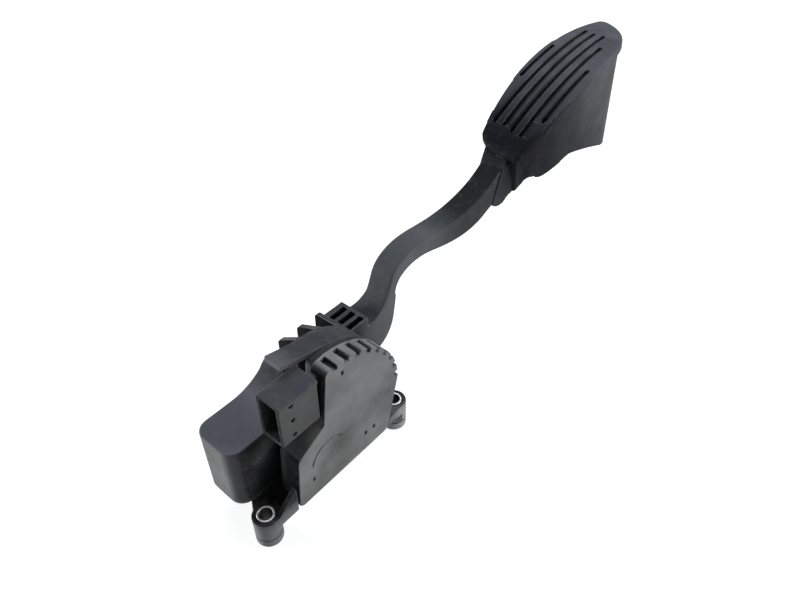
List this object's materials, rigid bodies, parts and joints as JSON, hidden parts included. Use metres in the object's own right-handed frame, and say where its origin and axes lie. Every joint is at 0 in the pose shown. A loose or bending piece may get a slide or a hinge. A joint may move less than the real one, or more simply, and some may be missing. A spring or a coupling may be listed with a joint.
{
  "type": "accelerator pedal",
  "caption": "Electronic accelerator pedal: an S-shaped arm with a crowned, grooved pad pivots in a bolted housing with a spring tower, a toothed sensor cover and a connector socket.",
  "frame": {"origin": "midway between the two near bolts, on the mounting face", "axes": "+X from the spring tower to the pad, +Y to the side away from the sensor cover, +Z away from the mounting face"},
  "size_m": [0.3581, 0.063, 0.1487],
  "materials": {
    "housing_plastic": "black glass-filled moulding, fine matt grain",
    "cover_plastic": "black glass-filled moulding, slightly paler and smoother",
    "arm_plastic": "black glass-filled moulding with a low sheen",
    "pad_plastic": "black moulding, grained tread",
    "plunger_plastic": "natural acetal, smooth",
    "sleeve_steel": "zinc-plated steel tube, turned ends",
    "axle_steel": "ground steel",
    "bearing_bronze": "sintered bronze",
    "spring_steel": "drawn spring wire",
    "stop_rubber": "moulded rubber",
    "seal_rubber": "soft silicone rubber",
    "magnet_ferrite": "ground ferrite",
    "board_laminate": "coated laminate",
    "chip_resin": "moulded resin",
    "terminal_brass": "tinned brass strip"
  },
  "bodies": {
    "base": {"housing": "housing_plastic", "sensor_cover": "cover_plastic", "cover_seal": "seal_rubber", "circuit_board": "board_laminate", "sensor_chip_1": "chip_resin", "sensor_chip_2": "chip_resin", "terminal_1": "terminal_brass", "terminal_2": "terminal_brass", "terminal_3": "terminal_brass", "terminal_4": "terminal_brass", "terminal_5": "terminal_brass", "terminal_6": "terminal_brass", "mount_bush_left": "sleeve_steel", "mount_bush_right": "sleeve_steel", "mount_bush_far": "sleeve_steel", "bearing_bush_near": "bearing_bronze", "bearing_bush_far": "bearing_bronze", "idle_stop": "stop_rubber", "full_stop": "stop_rubber", "outer_spring": "spring_steel", "inner_spring": "spring_steel"},
    "pedal": {"pedal_arm": "arm_plastic", "pedal_pad": "pad_plastic", "axle": "axle_steel", "axle_clip": "axle_steel", "sensor_magnet": "magnet_ferrite"},
    "plunger": {"spring_plunger": "plunger_plastic"}
  },
  "joints": [
    {"name": "pedal_pivot", "type": "hinge", "parent": "base", "child": "pedal", "pos_m": [0, 0.024, 0.048], "axis": [0, 1, 0], "range_deg": [0, 15], "stiffness_Nm_per_rad": 15, "springref_deg": -14.32},
    {"name": "plunger_slide", "type": "slide", "parent": "base", "child": "plunger", "axis": [0, 0, 1], "range_m": [0, 0.0103], "deforming": ["outer_spring", "inner_spring"]}
  ],
  "couplings": [
    {"joint": "plunger_slide", "follows": "pedal_pivot", "m_per_rad": 0.03918}
  ]
}
